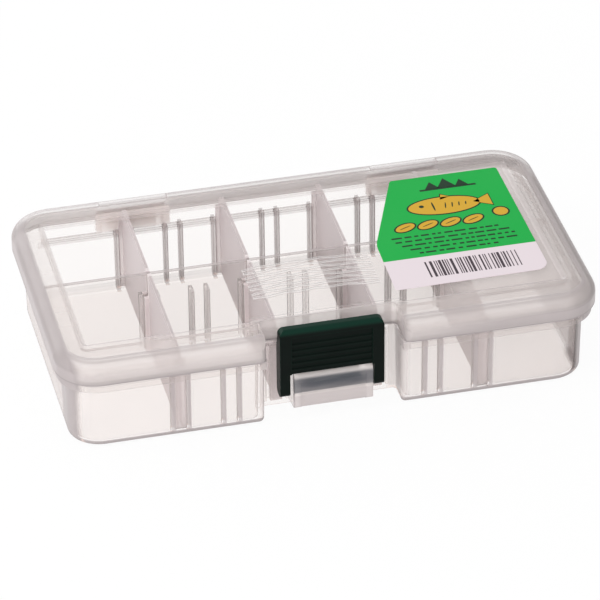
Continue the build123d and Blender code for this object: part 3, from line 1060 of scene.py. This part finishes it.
@dataclass
class Studio:
    """White floor, soft lamps, white surround and the camera."""

    floor_size: float = 6.0
    surround: float = 0.78
    camera_at: Triple = (-0.241938, -1.026882, 0.704010)
    azimuth: float = math.radians(13.2557)
    elevation: float = math.radians(33.2121)
    roll: float = math.radians(-0.57805)
    focal_px: float = 4246.43
    frame_px: float = 600.0
    sensor: float = 36.0

    def build(self) -> None:
        """Build the floor, the surround, the lamps and the camera."""
        self._floor()
        self._surround()
        self._lamp("key", (-0.8, -0.3, 0.8), 0.7, 4.0)
        self._lamp("rim", (-0.3, 1.1, 0.30), 0.9, 5.0)
        self._lamp("front", (-0.5, -1.3, 0.22), 0.6, 8.0)
        self._camera()

    def _floor(self) -> None:
        """Make the pale floor that keeps a faint shadow."""
        mesh = bpy.data.meshes.new("floor")
        form = bmesh.new()
        bmesh.ops.create_grid(form, x_segments=1, y_segments=1, size=self.floor_size / 2)
        bmesh.ops.translate(form, verts=form.verts, vec=(0, 0, -0.0002))
        form.to_mesh(mesh)
        form.free()
        floor = bpy.data.objects.new("floor", mesh)
        bpy.context.scene.collection.objects.link(floor)
        material = bpy.data.materials.new("pale_floor")
        graph = Graph(material)
        matt = graph.shader("ShaderNodeBsdfDiffuse", Color=(0.92, 0.92, 0.92, 1))
        glow = graph.shader("ShaderNodeEmission", Color=(1, 1, 1, 1), Strength=1.0)
        seen = graph.looked_at()
        graph.finish(graph.mix(seen * 0.94, matt, glow))
        mesh.materials.append(material)

    def _surround(self) -> None:
        """Light from all round, white where it is looked at."""
        world = bpy.data.worlds.new("studio")
        bpy.context.scene.world = world
        graph = Graph(world)
        seen = graph.looked_at()
        dim = graph.shader("ShaderNodeBackground", Color=(1, 1, 1, 1), Strength=self.surround)
        white = graph.shader("ShaderNodeBackground", Color=(1, 1, 1, 1), Strength=1.0)
        graph.finish(graph.mix(seen, dim, white), "ShaderNodeOutputWorld")

    def _lamp(self, name: str, place: Triple, size: float, power: float) -> None:
        """Make one soft lamp that points at the box.

        Args:
            name: the lamp's name.
            place: where it stands, in metres.
            size: side of its square face, in metres.
            power: its power, in watts.
        """
        data = bpy.data.lights.new(name, "AREA")
        data.size = size
        data.energy = power
        lamp = bpy.data.objects.new(name, data)
        lamp.location = place
        lamp.rotation_euler = (-Vector(place)).to_track_quat("-Z", "Y").to_euler()
        bpy.context.scene.collection.objects.link(lamp)

    def _camera(self) -> None:
        """Set the camera at the product view's angle."""
        data = bpy.data.cameras.new("camera")
        data.sensor_width = self.sensor
        data.lens = self.focal_px * self.sensor / self.frame_px
        data.clip_start, data.clip_end = 0.01, 20.0
        forward = Vector(
            (
                math.sin(self.azimuth) * math.cos(self.elevation),
                math.cos(self.azimuth) * math.cos(self.elevation),
                -math.sin(self.elevation),
            )
        )
        right = forward.cross(Vector((0, 0, 1))).normalized()
        up = right.cross(forward)
        turn = Matrix.Rotation(-self.roll, 3, forward)
        right, up = turn @ right, turn @ up
        camera = bpy.data.objects.new("camera", data)
        camera.matrix_world = Matrix.Translation(self.camera_at) @ Matrix(
            (right, up, -forward)
        ).transposed().to_4x4()
        bpy.context.scene.collection.objects.link(camera)
        bpy.context.scene.camera = camera


# -------------------------------------------------------------------------------------- assemblies


def dress(node: str, material: bpy.types.Material) -> None:
    """Give a CAD node a finish.

    Args:
        node: the node's name.
        material: the finish.
    """
    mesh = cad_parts[node].data
    mesh.materials.clear()
    mesh.materials.append(material)
    LOG.info("dressed %s with %s", node, material.name)


@dataclass
class ClearShells:
    """The tray, the lid and the dividers."""

    dividers: tuple[str, ...] = tuple(
        f"divider_{row}_{index}" for row in ("front", "rear") for index in (1, 2, 3, 4)
    )

    def build(self) -> None:
        """Dress the clear mouldings."""
        dress("base_tray", TrayPlastic().build())
        dress("lid", LidPlastic().build())
        divider = DividerPlastic().build()
        for node in self.dividers:
            dress(node, divider)


@dataclass
class Latch:
    """The dark snap latch."""

    def build(self) -> None:
        """Dress the latch."""
        dress("latch", DarkPlastic().build())


class Layer(Enum):
    """Order of the ink films above the label's face."""

    UNDER = 0
    OVER = 1
    TOP = 2


@dataclass
class InkFilm:
    """One ink: flat shapes gathered in a mesh, then given the film's thickness."""

    name: str
    ink: Colour
    face_z: float = 30.32
    film: float = 0.02

    def __post_init__(self) -> None:
        """Start an empty mesh."""
        self.form = bmesh.new()

    def _place(
        self, verts: list[bmesh.types.BMVert], size: Vector, centre: Vector, turn: float, layer: Layer
    ) -> None:
        """Scale, turn and move new vertices, in millimetres.

        Args:
            verts: the vertices of a shape of size 1 about the origin.
            size: half its length and width.
            centre: where its middle goes on the label.
            turn: its turn about the vertical, in degrees.
            layer: the film that it belongs to.
        """
        height = self.face_z + layer.value * self.film
        matrix = (
            Matrix.Translation((centre.x * MM, centre.y * MM, height * MM))
            @ Matrix.Rotation(math.radians(turn), 4, "Z")
            @ Matrix.Diagonal((size.x * MM, size.y * MM, 1.0, 1.0))
        )
        bmesh.ops.transform(self.form, matrix=matrix, verts=verts)

    def disc(
        self,
        centre: tuple[float, float],
        size: tuple[float, float],
        turn: float = 0.0,
        corners: int = 36,
        layer: Layer = Layer.UNDER,
    ) -> None:
        """Add an ellipse, or a polygon with few corners.

        Args:
            centre: its middle.
            size: its half length and half width.
            turn: its turn, in degrees.
            corners: its number of corners.
            layer: the film that it belongs to.
        """
        shape = bmesh.ops.create_circle(self.form, cap_ends=True, segments=corners, radius=1.0)
        self._place(shape["verts"], Vector(size), Vector(centre), turn, layer)

    def bar(
        self, near: tuple[float, float], far: tuple[float, float], layer: Layer = Layer.UNDER
    ) -> None:
        """Add a rectangle between two corners.

        Args:
            near: its lower left corner.
            far: its upper right corner.
            layer: the film that it belongs to.
        """
        shape = bmesh.ops.create_grid(self.form, x_segments=1, y_segments=1, size=1.0)
        size = (Vector(far) - Vector(near)) / 2
        self._place(shape["verts"], size, (Vector(near) + Vector(far)) / 2, 0.0, layer)

    def finish(self) -> bpy.types.Object:
        """Thicken the shapes and make the piece.

        Returns:
            The finished piece, riding on the lid.
        """
        risen = bmesh.ops.extrude_face_region(self.form, geom=self.form.faces[:])
        verts = [item for item in risen["geom"] if isinstance(item, bmesh.types.BMVert)]
        bmesh.ops.translate(self.form, verts=verts, vec=(0, 0, self.film * MM))
        bmesh.ops.recalc_face_normals(self.form, faces=self.form.faces[:])
        mesh = bpy.data.meshes.new(self.name)
        self.form.to_mesh(mesh)
        self.form.free()
        mesh.materials.append(PrintedPaper(self.name + "_ink", self.ink).build())
        piece = bpy.data.objects.new(self.name, mesh)
        bpy.context.scene.collection.objects.link(piece)
        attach(piece, "lid")
        LOG.info("printed %s: %d faces", self.name, len(mesh.polygons))
        return piece


@dataclass
class Label:
    """The printed label on the lid, with a plain angling print: hills, a fish, leaves, lines and bars."""

    seed: int = 11
    fish: tuple[float, float] = (48.0, 14.5)
    fish_size: tuple[float, float] = (11.0, 4.6)
    leaves: tuple[float, ...] = (33.5, 40.5, 47.5, 54.5)
    leaf_y: float = 5.0
    sun: tuple[float, float] = (63.6, 7.2)
    line_rows: tuple[float, ...] = (-0.6, -2.9, -5.2, -7.5, -9.8)
    line_height: float = 0.75
    bars_from: float = 34.0
    bars_to: float = 61.5
    bars_low: float = -23.0
    bars_high: float = -14.6
    outline: float = 0.55
    hills: tuple[Span, ...] = ((47.0, 2.6), (51.5, 3.4), (56.2, 2.4))
    ground_y: float = 24.4
    lines_from: float = 27.0
    lines_to: float = 66.0
    row_indent: float = 1.5
    bar_widths: tuple[float, ...] = (0.3, 0.3, 0.5, 0.8)
    bar_gaps: tuple[float, ...] = (0.35, 0.35, 0.6, 0.9)

    def build(self) -> None:
        """Dress the label and print it."""
        dress("label", PrintedPaper("label_green", (0.003, 0.385, 0.056), split_y=-11.7).build())
        self.chance = random.Random(self.seed)
        dark = InkFilm("print_dark", (0.006, 0.030, 0.012))
        orange = InkFilm("print_orange", (0.62, 0.36, 0.028))
        bars = InkFilm("print_bars", (0.055, 0.040, 0.050))
        self._hills(dark)
        self._fish(dark, orange)
        self._leaves(dark, orange)
        self._lines(dark)
        self._bars(bars)
        for film in (dark, orange, bars):
            film.finish()

    def _ringed(
        self, dark: InkFilm, orange: InkFilm, centre: tuple[float, float], size: tuple[float, float],
        turn: float = 0.0, corners: int = 36,
    ) -> None:
        """Add an orange shape with a dark outline.

        Args:
            dark: the dark ink.
            orange: the orange ink.
            centre: the shape's middle.
            size: its half length and half width.
            turn: its turn, in degrees.
            corners: its number of corners.
        """
        grown = (size[0] + self.outline, size[1] + self.outline)
        dark.disc(centre, grown, turn, corners)
        orange.disc(centre, size, turn, corners, Layer.OVER)

    def _hills(self, dark: InkFilm) -> None:
        """Add three hills on a ground line.

        Args:
            dark: the dark ink.
        """
        for x, size in self.hills:
            dark.disc((x, self.ground_y + size * 0.5), (size, size), 0.0, 3)
        dark.bar((43.0, 23.6), (60.5, 24.5))

    def _fish(self, dark: InkFilm, orange: InkFilm) -> None:
        """Add a plain fish with an eye and four stripes.

        Args:
            dark: the dark ink.
            orange: the orange ink.
        """
        x, y = self.fish
        length, width = self.fish_size
        self._ringed(dark, orange, (x + length + 1.6, y), (3.6, 3.6), 90.0, 3)
        self._ringed(dark, orange, (x + 1.0, y + width), (2.0, 1.6), 20.0, 3)
        self._ringed(dark, orange, self.fish, self.fish_size)
        dark.disc((x - length * 0.62, y + 0.7), (0.75, 0.75), layer=Layer.TOP)
        dark.disc((x - length * 0.30, y), (0.28, 2.5), 0.0, layer=Layer.TOP)
        for step in range(4):
            dark.disc((x + 0.4 + step * 2.1, y - 0.2), (0.2, 1.7 - step * 0.25), -12.0, layer=Layer.TOP)

    def _leaves(self, dark: InkFilm, orange: InkFilm) -> None:
        """Add a row of leaves and a round sun.

        Args:
            dark: the dark ink.
            orange: the orange ink.
        """
        for x in self.leaves:
            self._ringed(dark, orange, (x, self.leaf_y), (3.3, 1.8), 24.0)
            dark.disc((x, self.leaf_y), (2.0, 0.16), 24.0, layer=Layer.TOP)
        self._ringed(dark, orange, self.sun, (2.2, 2.2))

    def _lines(self, dark: InkFilm) -> None:
        """Add rows of short dashes.

        Args:
            dark: the dark ink.
        """
        for row, low in enumerate(self.line_rows):
            x = self.lines_from + self.row_indent * row + self.chance.uniform(0.0, 2.0)
            end = self.lines_to - self.chance.uniform(0.0, 9.0)
            while x < end:
                length = self.chance.uniform(0.8, 3.4)
                dark.bar((x, low), (x + length, low + self.line_height))
                x += length + self.chance.uniform(0.5, 1.1)

    def _bars(self, bars: InkFilm) -> None:
        """Add a row of upright bars of uneven width.

        Args:
            bars: the ink of the bars.
        """
        x = self.bars_from
        while x < self.bars_to:
            width = self.chance.choice(self.bar_widths)
            bars.bar((x, self.bars_low), (x + width, self.bars_high))
            x += width + self.chance.choice(self.bar_gaps)


def main() -> None:
    """Build the studio and dress every sub-assembly."""
    logging.basicConfig(level=logging.INFO, format="%(name)s: %(message)s")
    bpy.context.scene.view_settings.view_transform = "Standard"
    for part in (Studio(), ClearShells(), Latch(), Label()):
        part.build()
        LOG.info("built %s", type(part).__name__)


if __name__ == "__main__":
    main()
